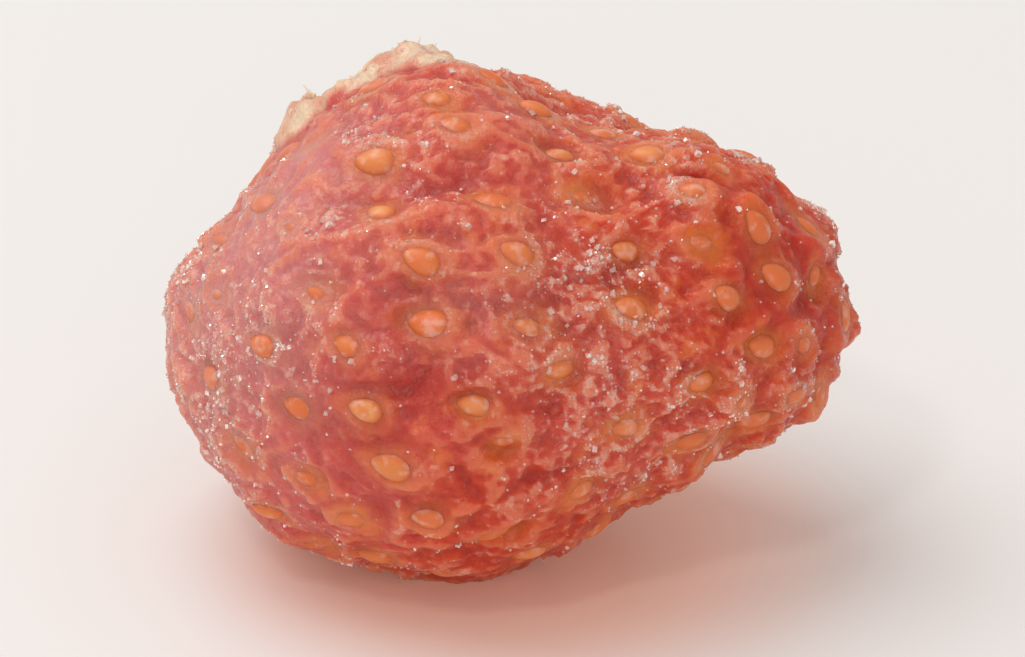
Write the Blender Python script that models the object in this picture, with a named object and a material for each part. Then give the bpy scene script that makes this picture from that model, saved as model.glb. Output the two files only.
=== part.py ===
# A dried strawberry: one candied fruit lying on its side, with its seeds standing in small pits.
# X runs along the fruit from the hull end (-X) to the tip (+X), -Y is its front and +Z is up.
# The origin lies on the surface that it rests on, under the middle of the fruit. Lengths are in metres.
#
# The fruit is worked out on a unit sphere. A place on it is a unit direction, and skin() puts each
# direction where the fruit's skin is. The mesh is the convex hull of well-spread directions, which
# joins every point to its nearest neighbours, with each point then moved to its place on the fruit.

import math
import random
from collections import namedtuple

import bmesh
import bpy
import numpy as np
from mathutils import Vector, noise

MM = 0.001

# The whole fruit
LENGTH = 25.5 * MM
DEPTH = 21.0 * MM
HEIGHT = 18.8 * MM
SETTLED = 0.80 * MM  # how much of the underside its weight has pressed flat

# Girth along the fruit, as a share of the full depth and height
SHOULDER_GIRTH = 1.03
TIP_GIRTH = 0.775
TAPER_FROM, TAPER_TO = -0.28, 0.50
TIP_BLUNT = 0.22
HULL_DRAW = 0.14
HULL_DRAW_FROM = 0.58

# Its middle line is a little raised at the tip end and sags at the hull end.
# middle is where along the fruit, from -1 to 1, and reach is how far that spreads
Bend = namedtuple("Bend", "middle reach height")
BENDS = (
    Bend(0.58, 0.36, 0.95 * MM),
    Bend(-0.72, 0.34, -0.62 * MM),
)

# A fold is a long hollow in the skin, or a swelling where its depth is negative.
# along runs from -1 at the hull end to 1 at the tip. around is in degrees, 0 in front and 90 on top.
# heading is the way it runs, in degrees from the way to the tip towards the top.
FOLD_STEEPNESS = 1.6  # the power that shapes a fold's walls
Fold = namedtuple("Fold", "along around heading length width depth")
FOLDS = {
    "front crease": Fold(-0.27, 22, 80, 3.4 * MM, 1.3 * MM, 0.75 * MM),
    "lower crease": Fold(0.05, 4, -8, 3.6 * MM, 0.9 * MM, 0.50 * MM),
    "lower ridge": Fold(0.06, 18, -6, 3.8 * MM, 0.9 * MM, -0.40 * MM),
    "upper crease": Fold(-0.08, 61, 6, 4.0 * MM, 1.0 * MM, 0.45 * MM),
    "upper ridge": Fold(-0.05, 48, 4, 3.2 * MM, 1.0 * MM, -0.30 * MM),
    "tip cheek": Fold(0.70, 66, 0, 3.4 * MM, 3.0 * MM, -0.45 * MM),
    "shoulder bowl": Fold(-0.58, 25, 60, 3.4 * MM, 2.6 * MM, 0.60 * MM),
    "side notch": Fold(-0.86, -50, 20, 2.2 * MM, 0.8 * MM, 0.45 * MM),
    "low lobe": Fold(-0.80, -30, 30, 3.0 * MM, 2.2 * MM, -0.45 * MM),
    "hull side": Fold(-0.82, 108, 0, 3.4 * MM, 3.4 * MM, 0.75 * MM),
    "belly": Fold(0.12, -94, 0, 4.8 * MM, 4.4 * MM, -0.60 * MM),
    "tip pucker": Fold(0.93, -35, 50, 2.6 * MM, 1.0 * MM, 0.55 * MM),
    "top dent": Fold(0.28, 103, 25, 4.2 * MM, 2.2 * MM, 0.70 * MM),
    "back fold": Fold(-0.05, 172, 14, 7.0 * MM, 1.3 * MM, 1.15 * MM),
    "back swelling": Fold(0.05, 200, 8, 5.0 * MM, 2.4 * MM, -0.55 * MM),
    "back hollow": Fold(0.52, 176, -30, 3.6 * MM, 2.4 * MM, 0.80 * MM),
    "low back fold": Fold(-0.45, 214, 62, 4.4 * MM, 1.2 * MM, 0.80 * MM),
    "under fold": Fold(0.40, -80, 35, 4.0 * MM, 1.2 * MM, 0.60 * MM),
    "top saddle": Fold(0.07, 114, 0, 3.4 * MM, 2.4 * MM, 0.50 * MM),
    "hull flank": Fold(-0.92, 118, 0, 2.4 * MM, 2.4 * MM, 0.50 * MM),
    "tip top": Fold(0.72, 112, 0, 2.6 * MM, 2.0 * MM, 0.35 * MM),
    "tip underside": Fold(0.96, -64, 0, 2.0 * MM, 2.0 * MM, -0.28 * MM),
    "lower flank": Fold(0.54, -60, 0, 3.0 * MM, 1.6 * MM, -0.30 * MM),
}

# Broad lumps, and wrinkles that are sharp ridges or rounded pillows between sharp creases.
# span is the distance from one to the next, and height is how far they stand out
LUMP_SPAN, LUMP_HEIGHT = 7.5 * MM, 0.60 * MM
RIDGE_SPAN, RIDGE_HEIGHT = 3.1 * MM, 0.36 * MM
PILLOW_SPAN, PILLOW_HEIGHT = 2.3 * MM, 0.30 * MM
SHARPNESS = 2.2  # how steeply a ridge or a crease is cut
MEAN_HEIGHT = 0.5  # the height of ridges or pillows on average, as a share
WRINKLE_STRETCH = 1.6  # wrinkles are this much longer than wide, along the fruit
WRINKLE_BEND = 0.9  # how far they wander, as a share of their span
SHOULDER_CALM = 0.45  # the share of the wrinkles that the swollen shoulder lacks
CALM_TO, CALM_FROM = -0.75, -0.15

# Below a place on the fruit by this much lies the fruit's other side, which its folds don't reach
OTHER_SIDE, THIS_SIDE = -7.0 * MM, -3.0 * MM

# The scar where the hull was pulled out: a torn hollow with a core stub, round a pith hole, and a lip
SCAR_ALONG, SCAR_AROUND = -0.43, 137
SCAR_RADIUS = 3.5 * MM
SCAR_DEPTH = 1.80 * MM
SCAR_FLOOR = 0.22  # its flat floor's share of the radius
SCAR_CALM = 0.45  # the share of the wrinkles that its torn floor lacks
CORE_RADIUS, CORE_HEIGHT = 1.35 * MM, 0.80 * MM
PITH_RADIUS, PITH_DEPTH = 0.50 * MM, 0.50 * MM
LIP_WIDTH, LIP_HEIGHT = 0.62 * MM, 0.25 * MM
# How its rim wavers: how often round it, the phase in radians and the share of the radius
Waver = namedtuple("Waver", "times phase share")
WAVERS = (
    Waver(2, 1.9, 0.060),
    Waver(3, 0.6, 0.040),
    Waver(7, 2.0, 0.035),
    Waver(11, 0.3, 0.025),
)
# Each tag of the lip: where it stands round the scar, in degrees, its width in degrees and its height
Tag = namedtuple("Tag", "around width height")
TAGS = (
    Tag(-58, 34, 0.34 * MM),
    Tag(-140, 17, 0.38 * MM),
    Tag(38, 26, 0.35 * MM),
    Tag(128, 30, 0.40 * MM),
)

# Seeds stand along a spiral from the hull end to the tip, whose axis leans a little off X
SEED_AXIS = (0.93, -0.25, -0.27)
SEED_SPIRAL_COUNT = 168
SEED_SPIRAL_START = 1.1
GOLDEN_ANGLE = math.pi * (3 - math.sqrt(5))
SEED_DRIFT = 0.055  # in radians on the unit sphere
SEED_TURN = 16  # in degrees
SEED_SIZES = (0.78, 1.15)
SEED_LENGTH, SEED_WIDTH = 1.50 * MM, 1.02 * MM
SEED_RISE = 0.24 * MM
SEED_SUNK = 0.08 * MM  # how much lower it stands on the smooth shoulder
SEED_DROP = 0.22  # how much narrower its end towards the hull is
PIT_DEPTH, PIT_MARGIN = 0.22 * MM, 0.42 * MM
SEED_SPACING = 1.9 * MM
SCAR_CLEARANCE = 1.3 * MM
REST_CLEARANCE = 0.25 * MM
# On the smooth shoulder, seeds are lower. It begins and is full at these shares of the way to the hull
SEED_SHOULDER_FROM, SEED_SHOULDER_FULL = 0.45, 0.80
RANDOM_SEED = 23

# The mesh: how many points are round each seed's shoulder and foot and its pit's rim, where the shoulder
# is, as shares of the seed's width and height, and how the points of the skin between them are spread
SHOULDER_RING, FOOT_RING, PIT_RING = 6, 6, 7
SHOULDER_SHARE, SHOULDER_RISE = 0.66, 0.78
SKIN_POINTS = 5200
POINT_GAP = 0.30 * MM
STEP = 0.01  # the step that slopes are measured over, in radians
SHARP_EDGE = math.radians(50)

SKIN_COLOUR = (0.62, 0.10, 0.05, 1.0)
SKIN_ROUGHNESS = 0.48


def ramp(value, low, high):
    """A smooth rise from 0 at low to 1 at high."""
    t = np.clip((value - low) / (high - low), 0, 1)
    return t * t * (3 - 2 * t)


def unit(vectors):
    return vectors / np.linalg.norm(vectors, axis=-1, keepdims=True)


def place(along, around):
    """The unit direction of a place on the fruit."""
    angle = math.radians(around)
    across = math.sqrt(1 - along * along)
    return np.array([along, -across * math.cos(angle), across * math.sin(angle)])


def tangents(directions, axis):
    """For each direction, the unit vectors along the sphere towards axis and to its left."""
    forward = unit(axis - directions * (directions @ axis)[:, None])
    return forward, np.cross(directions, forward)


def body(directions):
    """The plump, tapered fruit with no folds."""
    along = directions[:, 0]
    girth = SHOULDER_GIRTH - (SHOULDER_GIRTH - TIP_GIRTH) * ramp(along, TAPER_FROM, TAPER_TO)
    girth += TIP_BLUNT * np.clip(along, 0, 1) ** 6
    girth -= HULL_DRAW * ramp(-along, HULL_DRAW_FROM, 1.0)
    points = directions * np.array([LENGTH, DEPTH, HEIGHT]) / 2
    points[:, 1:] *= girth[:, None]
    for bend in BENDS:
        points[:, 2] += bend.height * np.exp(-(((along - bend.middle) / bend.reach) ** 2))
    return points


def outward(directions):
    return unit(directions / np.array([LENGTH, DEPTH, HEIGHT]))


def local(points, centre, heading, axis=(1.0, 0.0, 0.0)):
    """How far each point is from centre, ahead along heading and aside, in metres, and a share
    that is 1 on centre's side of the fruit and 0 on the other side."""
    origin = body(centre[None])[0]
    normal = outward(centre[None])[0]
    forward = unit(np.array(axis) - normal * (normal @ np.array(axis)))
    left = np.cross(normal, forward)
    turn = math.radians(heading)
    away = points - origin
    ahead, aside = away @ forward, away @ left
    cos, sin = math.cos(turn), math.sin(turn)
    same_side = ramp(away @ normal, OTHER_SIDE, THIS_SIDE)
    return ahead * cos + aside * sin, aside * cos - ahead * sin, same_side


def fold_depth(points):
    """The hollows, less the swellings, of every fold."""
    depth = np.zeros(len(points))
    for fold in FOLDS.values():
        ahead, aside, same_side = local(points, place(fold.along, fold.around), fold.heading)
        near = np.exp(-((ahead / fold.length) ** 2) - np.abs(aside / fold.width) ** FOLD_STEEPNESS)
        depth += fold.depth * near * same_side
    return depth


def wrinkle_height(points, strengths):
    """Broad lumps, and finer wrinkles that run along the fruit."""
    heights = np.empty(len(points))
    for i, (x, y, z) in enumerate(points):
        lump = noise.noise(Vector((x, y, z)) / LUMP_SPAN)
        bend = WRINKLE_BEND * noise.noise(Vector((z, x, y)) / (2 * RIDGE_SPAN))
        wander = Vector((bend, -bend, bend))
        spot = Vector((x / WRINKLE_STRETCH, y, z))
        ridge = 1 - SHARPNESS * abs(noise.noise(spot / RIDGE_SPAN + wander)) - MEAN_HEIGHT
        pillow = SHARPNESS * abs(noise.noise(spot / PILLOW_SPAN - wander)) - MEAN_HEIGHT
        wrinkle = RIDGE_HEIGHT * ridge + PILLOW_HEIGHT * pillow
        heights[i] = LUMP_HEIGHT * lump + wrinkle * strengths[i]
    return heights


def scar_height(points):
    """The torn hollow where the hull was, its core stub and its tagged lip."""
    ahead, aside, same_side = local(points, place(SCAR_ALONG, SCAR_AROUND), 0)
    reach = np.hypot(ahead, aside)
    bearing = np.arctan2(aside, ahead)
    rim = SCAR_RADIUS * (1 + sum(w.share * np.sin(w.times * bearing + w.phase) for w in WAVERS))
    bowl = -SCAR_DEPTH * (1 - ramp(reach, SCAR_FLOOR * rim, rim))
    core = CORE_HEIGHT * np.exp(-((reach / CORE_RADIUS) ** 4))
    pith = -PITH_DEPTH * np.exp(-((reach / PITH_RADIUS) ** 2))
    lip = LIP_HEIGHT * np.ones(len(points))
    for tag in TAGS:
        off = (np.degrees(bearing) - tag.around + 180) % 360 - 180
        lip += tag.height * np.exp(-((off / tag.width) ** 2))
    lip *= np.exp(-(((reach - rim) / LIP_WIDTH) ** 2))
    return (bowl + core + pith + lip) * same_side


def in_scar(points, margin=0.0):
    """How far inside the scar's rim each point lies, from 0 to 1."""
    ahead, aside, same_side = local(points, place(SCAR_ALONG, SCAR_AROUND), 0)
    edge = SCAR_RADIUS + margin
    return (1 - ramp(np.hypot(ahead, aside), edge - LIP_WIDTH, edge)) * same_side


def skin(directions):
    """Where the skin is in each direction, before the underside settles."""
    points = body(directions)
    calm = 1 - SHOULDER_CALM * (1 - ramp(directions[:, 0], CALM_TO, CALM_FROM))
    calm *= 1 - SCAR_CALM * in_scar(points, margin=LIP_WIDTH)
    height = wrinkle_height(points, calm) - fold_depth(points) + scar_height(points)
    points = points + outward(directions) * height[:, None]
    points[:, 2] += HEIGHT / 2 * SHOULDER_GIRTH - SETTLED
    return points


def skin_slopes(directions, forward, left):
    """The skin's change in position for a radian forward and for a radian to the left."""
    slopes = []
    for way in (forward, left):
        ahead = skin(unit(directions + STEP * way))
        behind = skin(unit(directions - STEP * way))
        slopes.append((ahead - behind) / (2 * STEP))
    return slopes


class Seeds:
    """The places, headings and sizes of the seeds, worked out from the spiral's rule."""

    def __init__(self):
        axis = unit(np.array(SEED_AXIS))
        directions, turns, sizes = self.spiral(axis)
        forward, left = tangents(directions, axis)
        cos, sin = np.cos(turns)[:, None], np.sin(turns)[:, None]
        forward, left = forward * cos + left * sin, left * cos - forward * sin
        slope_forward, slope_left = skin_slopes(directions, forward, left)
        self.directions, self.forward, self.left = directions, forward, left
        self.slopes = np.stack([slope_forward, slope_left], axis=2)
        self.points = skin(directions)
        self.normals = unit(np.cross(slope_forward, slope_left))
        self.ahead = unit(slope_forward)
        self.aside = np.cross(self.normals, self.ahead)
        self.sizes = sizes
        shoulder = ramp(-(directions @ axis), SEED_SHOULDER_FROM, SEED_SHOULDER_FULL)
        self.rises = SEED_RISE * sizes - SEED_SUNK * shoulder
        self.keep(in_scar(body(directions), margin=SCAR_CLEARANCE) < 0.5)
        self.keep(self.points[:, 2] > REST_CLEARANCE)
        self.keep(self.apart())

    @staticmethod
    def spiral(axis):
        """Places at even steps along the axis and golden angles round it, each moved a little."""
        draw = random.Random(RANDOM_SEED)
        across = unit(np.cross(axis, (0.0, 0.0, 1.0)))
        upward = np.cross(axis, across)
        places, turns, sizes = [], [], []
        for i in range(SEED_SPIRAL_COUNT):
            along = 1 - 2 * (i + 0.5) / SEED_SPIRAL_COUNT
            angle = SEED_SPIRAL_START + i * GOLDEN_ANGLE
            ring = math.sqrt(1 - along * along) * (across * math.cos(angle) + upward * math.sin(angle))
            drift = np.array([draw.uniform(-SEED_DRIFT, SEED_DRIFT) for _ in range(3)])
            places.append(axis * along + ring + drift)
            turns.append(math.radians(draw.uniform(-SEED_TURN, SEED_TURN)))
            sizes.append(draw.uniform(*SEED_SIZES))
        return unit(np.array(places)), np.array(turns), np.array(sizes)

    def keep(self, wanted):
        for name, values in vars(self).items():
            setattr(self, name, values[wanted])

    def apart(self):
        """Whether each seed is far enough from every seed before it that is."""
        apart = np.zeros(len(self.points), bool)
        for i, point in enumerate(self.points):
            away = np.linalg.norm(self.points[:i][apart[:i]] - point, axis=1)
            apart[i] = (away > SEED_SPACING).all()
        return apart

    def ring(self, i, count, share=1.0, margin=0.0):
        """count points round seed i's drop-shaped outline, as metres ahead and aside."""
        angles = 2 * math.pi * (np.arange(count) + 0.5) / count
        half_length = self.sizes[i] * SEED_LENGTH / 2 * share + margin
        half_width = self.sizes[i] * SEED_WIDTH / 2 * share + margin
        ahead = half_length * np.cos(angles)
        aside = half_width * np.sin(angles) * (1 + SEED_DROP * np.cos(angles))
        return np.column_stack([ahead, aside])

    def on_sphere(self, i, offsets):
        """The directions of points that lie offsets metres ahead and aside of seed i."""
        away = offsets[:, :1] * self.ahead[i] + offsets[:, 1:] * self.aside[i]
        steps = away @ np.linalg.pinv(self.slopes[i]).T
        moved = self.directions[i] + steps[:, :1] * self.forward[i] + steps[:, 1:] * self.left[i]
        return unit(moved)

    def above(self, i, offsets, height):
        """Points that lie offsets metres ahead and aside of seed i, at a height over the skin."""
        away = offsets[:, :1] * self.ahead[i] + offsets[:, 1:] * self.aside[i]
        return self.points[i] + away + height * self.normals[i]

    def clear_of(self, points, margin):
        """Whether each point lies outside every seed's outline by more than margin."""
        clear = np.ones(len(points), bool)
        for i in range(len(self.points)):
            away = points - self.points[i]
            ahead = away @ self.ahead[i] / (self.sizes[i] * SEED_LENGTH / 2 + margin)
            aside = away @ self.aside[i] / (self.sizes[i] * SEED_WIDTH / 2 + margin)
            near = np.linalg.norm(away, axis=1) < 2 * SEED_LENGTH
            clear &= ~near | (np.hypot(ahead, aside) > 1)
        return clear


def seed_points(seeds):
    """The directions and places of every seed's top, shoulder and foot and of its pit's rim."""
    directions, points = [], []
    for i in range(len(seeds.points)):
        rise, pit = seeds.rises[i], -PIT_DEPTH * seeds.sizes[i]
        top = np.zeros((1, 2))
        shoulder = seeds.ring(i, SHOULDER_RING, SHOULDER_SHARE)
        foot = seeds.ring(i, FOOT_RING)
        rim = seeds.on_sphere(i, seeds.ring(i, PIT_RING, margin=PIT_MARGIN))
        directions += [seeds.on_sphere(i, top), seeds.on_sphere(i, shoulder), seeds.on_sphere(i, foot), rim]
        points += [
            seeds.above(i, top, rise),
            seeds.above(i, shoulder, rise * SHOULDER_RISE),
            seeds.above(i, foot, pit),
            skin(rim),
        ]
    return np.concatenate(directions), np.concatenate(points)


def skin_points(seeds):
    """Directions spread evenly over the sphere, and their places, wherever no seed is."""
    i = np.arange(SKIN_POINTS) + 0.5
    height = 1 - 2 * i / SKIN_POINTS
    angle = i * GOLDEN_ANGLE
    across = np.sqrt(1 - height**2)
    directions = np.column_stack([height, across * np.cos(angle), across * np.sin(angle)])
    points = skin(directions)
    free = seeds.clear_of(points, PIT_MARGIN + POINT_GAP)
    return directions[free], points[free]


def settle(points):
    """Presses what lies below the surface flat, and centres the fruit over the origin."""
    points = points.copy()
    points[:, 2] = np.maximum(points[:, 2], 0)
    middle = (points.min(axis=0) + points.max(axis=0)) / 2
    points[:, :2] -= middle[:2]
    return points


def fruit_mesh(name):
    seeds = Seeds()
    seed_directions, seed_places = seed_points(seeds)
    skin_directions, skin_places = skin_points(seeds)
    directions = np.concatenate([seed_directions, skin_directions])
    places = settle(np.concatenate([seed_places, skin_places]))
    bm = bmesh.new()
    vertices = [bm.verts.new(direction) for direction in directions]
    hull = bmesh.ops.convex_hull(bm, input=vertices)
    loose = set(hull["geom_interior"] + hull["geom_unused"])
    spare = [element for element in loose if isinstance(element, bmesh.types.BMVert)]
    for vertex, point in zip(vertices, places):
        vertex.co = point
    bmesh.ops.delete(bm, geom=spare, context="VERTS")
    bmesh.ops.triangulate(bm, faces=bm.faces)
    bmesh.ops.recalc_face_normals(bm, faces=bm.faces)
    mesh = bpy.data.meshes.new(name)
    bm.to_mesh(mesh)
    bm.free()
    mesh.shade_smooth()
    mesh.set_sharp_from_angle(angle=SHARP_EDGE)
    return mesh


def skin_material():
    material = bpy.data.materials.new("candied_flesh")
    material.use_nodes = True
    shader = material.node_tree.nodes["Principled BSDF"]
    shader.inputs["Base Color"].default_value = SKIN_COLOUR
    shader.inputs["Roughness"].default_value = SKIN_ROUGHNESS
    shader.inputs["Metallic"].default_value = 0.0
    return material


def main():
    for obj in list(bpy.data.objects):
        bpy.data.objects.remove(obj)
    collection = bpy.data.collections.new("dried_strawberry")
    bpy.context.scene.collection.children.link(collection)
    fruit = bpy.data.objects.new("dried_strawberry", fruit_mesh("dried_strawberry"))
    fruit.data.materials.append(skin_material())
    collection.objects.link(fruit)


main()
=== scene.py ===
import math
import random
from collections import namedtuple

import bmesh
import bpy
import numpy as np
from mathutils import Matrix, Vector, noise


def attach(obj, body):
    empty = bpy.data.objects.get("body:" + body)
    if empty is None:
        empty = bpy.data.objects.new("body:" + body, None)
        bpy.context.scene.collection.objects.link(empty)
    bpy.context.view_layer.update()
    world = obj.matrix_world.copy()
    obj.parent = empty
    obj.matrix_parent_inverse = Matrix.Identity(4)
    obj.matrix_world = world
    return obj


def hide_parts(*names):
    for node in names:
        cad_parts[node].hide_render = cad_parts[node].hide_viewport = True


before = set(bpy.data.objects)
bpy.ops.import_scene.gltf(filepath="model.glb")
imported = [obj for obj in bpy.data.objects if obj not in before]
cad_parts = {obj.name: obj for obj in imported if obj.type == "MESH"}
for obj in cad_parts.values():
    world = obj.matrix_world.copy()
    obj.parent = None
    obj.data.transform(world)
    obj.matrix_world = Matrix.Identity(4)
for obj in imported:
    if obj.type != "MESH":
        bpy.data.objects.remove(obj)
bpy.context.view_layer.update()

MM = 0.001
NODE = "dried_strawberry"

# The form of the solid

LENGTH = 25.5 * MM
DEPTH = 21.0 * MM
HEIGHT = 18.8 * MM
SETTLED = 0.80 * MM  # how much of the underside its weight has pressed flat

# Girth along the fruit, as a share of the full depth and height
SHOULDER_GIRTH = 1.03
TIP_GIRTH = 0.775
TAPER_FROM, TAPER_TO = -0.28, 0.50
TIP_BLUNT = 0.22
HULL_DRAW = 0.14
HULL_DRAW_FROM = 0.58

# Its middle line is a little raised at the tip end and sags at the hull end.
# middle is where along the fruit, from -1 to 1, and reach is how far that spreads
Bend = namedtuple("Bend", "middle reach height")
BENDS = (
    Bend(0.58, 0.36, 0.95 * MM),
    Bend(-0.72, 0.34, -0.62 * MM),
)

# A fold is a long hollow in the skin, or a swelling where its depth is negative.
# along runs from -1 at the hull end to 1 at the tip. around is in degrees, 0 in front and 90 on top.
# heading is the way it runs, in degrees from the way to the tip towards the top.
FOLD_STEEPNESS = 1.6  # the power that shapes a fold's walls
Fold = namedtuple("Fold", "along around heading length width depth")
FOLDS = {
    "front crease": Fold(-0.27, 22, 80, 3.4 * MM, 1.3 * MM, 0.75 * MM),
    "lower crease": Fold(0.05, 4, -8, 3.6 * MM, 0.9 * MM, 0.50 * MM),
    "lower ridge": Fold(0.06, 18, -6, 3.8 * MM, 0.9 * MM, -0.40 * MM),
    "upper crease": Fold(-0.08, 61, 6, 4.0 * MM, 1.0 * MM, 0.45 * MM),
    "upper ridge": Fold(-0.05, 48, 4, 3.2 * MM, 1.0 * MM, -0.30 * MM),
    "tip cheek": Fold(0.70, 66, 0, 3.4 * MM, 3.0 * MM, -0.45 * MM),
    "shoulder bowl": Fold(-0.58, 25, 60, 3.4 * MM, 2.6 * MM, 0.60 * MM),
    "side notch": Fold(-0.86, -50, 20, 2.2 * MM, 0.8 * MM, 0.45 * MM),
    "low lobe": Fold(-0.80, -30, 30, 3.0 * MM, 2.2 * MM, -0.45 * MM),
    "hull side": Fold(-0.82, 108, 0, 3.4 * MM, 3.4 * MM, 0.75 * MM),
    "belly": Fold(0.12, -94, 0, 4.8 * MM, 4.4 * MM, -0.60 * MM),
    "tip pucker": Fold(0.93, -35, 50, 2.6 * MM, 1.0 * MM, 0.55 * MM),
    "top dent": Fold(0.28, 103, 25, 4.2 * MM, 2.2 * MM, 0.70 * MM),
    "back fold": Fold(-0.05, 172, 14, 7.0 * MM, 1.3 * MM, 1.15 * MM),
    "back swelling": Fold(0.05, 200, 8, 5.0 * MM, 2.4 * MM, -0.55 * MM),
    "back hollow": Fold(0.52, 176, -30, 3.6 * MM, 2.4 * MM, 0.80 * MM),
    "low back fold": Fold(-0.45, 214, 62, 4.4 * MM, 1.2 * MM, 0.80 * MM),
    "under fold": Fold(0.40, -80, 35, 4.0 * MM, 1.2 * MM, 0.60 * MM),
    "top saddle": Fold(0.07, 114, 0, 3.4 * MM, 2.4 * MM, 0.50 * MM),
    "hull flank": Fold(-0.92, 118, 0, 2.4 * MM, 2.4 * MM, 0.50 * MM),
    "tip top": Fold(0.72, 112, 0, 2.6 * MM, 2.0 * MM, 0.35 * MM),
    "tip underside": Fold(0.96, -64, 0, 2.0 * MM, 2.0 * MM, -0.28 * MM),
    "lower flank": Fold(0.54, -60, 0, 3.0 * MM, 1.6 * MM, -0.30 * MM),
}

# Broad lumps, and wrinkles that are sharp ridges or rounded pillows between sharp creases.
# span is the distance from one to the next, and height is how far they stand out
LUMP_SPAN, LUMP_HEIGHT = 7.5 * MM, 0.60 * MM
RIDGE_SPAN, RIDGE_HEIGHT = 3.1 * MM, 0.36 * MM
PILLOW_SPAN, PILLOW_HEIGHT = 2.3 * MM, 0.30 * MM
SHARPNESS = 2.2  # how steeply a ridge or a crease is cut
MEAN_HEIGHT = 0.5  # the height of ridges or pillows on average, as a share
WRINKLE_STRETCH = 1.6  # wrinkles are this much longer than wide, along the fruit
WRINKLE_BEND = 0.9  # how far they wander, as a share of their span
SHOULDER_CALM = 0.45  # the share of the wrinkles that the swollen shoulder lacks
CALM_TO, CALM_FROM = -0.75, -0.15

# Below a place on the fruit by this much lies the fruit's other side, which its folds don't reach
OTHER_SIDE, THIS_SIDE = -7.0 * MM, -3.0 * MM

# The scar where the hull was pulled out: a torn hollow with a core stub, round a pith hole, and a lip
SCAR_ALONG, SCAR_AROUND = -0.43, 137
SCAR_RADIUS = 3.5 * MM
SCAR_DEPTH = 1.80 * MM
SCAR_FLOOR = 0.22  # its flat floor's share of the radius
SCAR_CALM = 0.45  # the share of the wrinkles that its torn floor lacks
CORE_RADIUS, CORE_HEIGHT = 1.35 * MM, 0.80 * MM
PITH_RADIUS, PITH_DEPTH = 0.50 * MM, 0.50 * MM
LIP_WIDTH, LIP_HEIGHT = 0.62 * MM, 0.25 * MM
# How its rim wavers: how often round it, the phase in radians and the share of the radius
Waver = namedtuple("Waver", "times phase share")
WAVERS = (
    Waver(2, 1.9, 0.060),
    Waver(3, 0.6, 0.040),
    Waver(7, 2.0, 0.035),
    Waver(11, 0.3, 0.025),
)
# Each tag of the lip: where it stands round the scar, in degrees, its width in degrees and its height
Tag = namedtuple("Tag", "around width height")
TAGS = (
    Tag(-58, 34, 0.34 * MM),
    Tag(-140, 17, 0.38 * MM),
    Tag(38, 26, 0.35 * MM),
    Tag(128, 30, 0.40 * MM),
)

# Seeds stand along a spiral from the hull end to the tip, whose axis leans a little off X
SEED_AXIS = (0.93, -0.25, -0.27)
SEED_SPIRAL_COUNT = 168
SEED_SPIRAL_START = 1.1
GOLDEN_ANGLE = math.pi * (3 - math.sqrt(5))
SEED_DRIFT = 0.055  # in radians on the unit sphere
SEED_TURN = 16  # in degrees
SEED_SIZES = (0.78, 1.15)
SEED_LENGTH, SEED_WIDTH = 1.50 * MM, 1.02 * MM
SEED_DROP = 0.22  # how much narrower its end towards the hull is
PIT_DEPTH = 0.22 * MM
SEED_SPACING = 1.9 * MM
SCAR_CLEARANCE = 1.3 * MM
REST_CLEARANCE = 0.25 * MM
# The smooth shoulder begins and is full at these shares of the way to the hull
SEED_SHOULDER_FROM, SEED_SHOULDER_FULL = 0.45, 0.80
RANDOM_SEED = 23
STEP = 0.01  # the step that slopes are measured over, in radians

# The fine surface

FLESH_CUTS = 127  # cuts in each edge of the cube that the flesh is rounded from
# Each crinkle: its span, its stretch along the fruit, how far it wanders, its height and whether it is a
# sharp ridge (1) or a rounded pillow (-1)
Crinkle = namedtuple("Crinkle", "span stretch wander height kind")
CRINKLES = (
    Crinkle(1.45 * MM, 1.4, 0.8, 0.16 * MM, 1),
    Crinkle(0.95 * MM, 1.3, -0.8, 0.10 * MM, -1),
    Crinkle(0.55 * MM, 1.0, 0.0, 0.06 * MM, 1),
    Crinkle(0.40 * MM, 1.0, 0.0, 0.045 * MM, -1),
)
CRINKLE_SHARPNESS = 2.4
CRINKLE_CALM = 0.35  # the share of the crinkles that the swollen shoulder lacks
WANDER_SPAN = 2.0 * MM
# How often heights are averaged with their neighbours' to tell fine ridges and broader hollows apart
FINE_PASSES, CREST_PASSES, BROAD_PASSES = 5, 28, 80
FINE_RELIEF, CREST_RELIEF, BROAD_RELIEF = 0.040 * MM, 0.095 * MM, 0.26 * MM  # what counts as full

# A bloom of sugar lies on the skin, and lifts where a patch's strength is negative
Patch = namedtuple("Patch", "along around radius strength")
BLOOM = 0.22
BLOOM_SPANS = ((4.5 * MM, 0.70), (1.5 * MM, 0.50))  # how far apart its clouds are and how strong
PATCHES = {
    "shoulder": Patch(-0.70, 40, 5.0 * MM, 0.18),
    "hull end": Patch(-0.95, 0, 4.5 * MM, 0.22),
    "front": Patch(-0.03, 31, 2.6 * MM, 0.18),
    "upper front": Patch(0.38, 62, 3.4 * MM, 0.30),
    "low front": Patch(0.28, -10, 2.6 * MM, 0.35),
    "below the tip": Patch(0.52, -2, 2.4 * MM, 0.20),
    "crease clearing": Patch(-0.42, 14, 3.0 * MM, -0.55),
    "low clearing": Patch(-0.25, -25, 4.5 * MM, -0.55),
    "tip clearing": Patch(0.74, 55, 3.0 * MM, -0.45),
    "top clearing": Patch(0.02, 68, 1.8 * MM, -0.35),
}
# A pale haze lies evenly on the swollen end
HAZES = (
    Patch(-0.72, 44, 5.2 * MM, 0.75),
    Patch(-0.98, -10, 5.0 * MM, 0.70),
    Patch(-0.10, 32, 2.6 * MM, 0.30),
    Patch(0.05, 84, 3.2 * MM, 0.30),
    Patch(-0.60, 82, 3.0 * MM, 0.70),
    Patch(-0.80, 200, 5.0 * MM, 0.55),
)
HAZE_SPANS = ((2.5 * MM, 0.35),)
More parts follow.
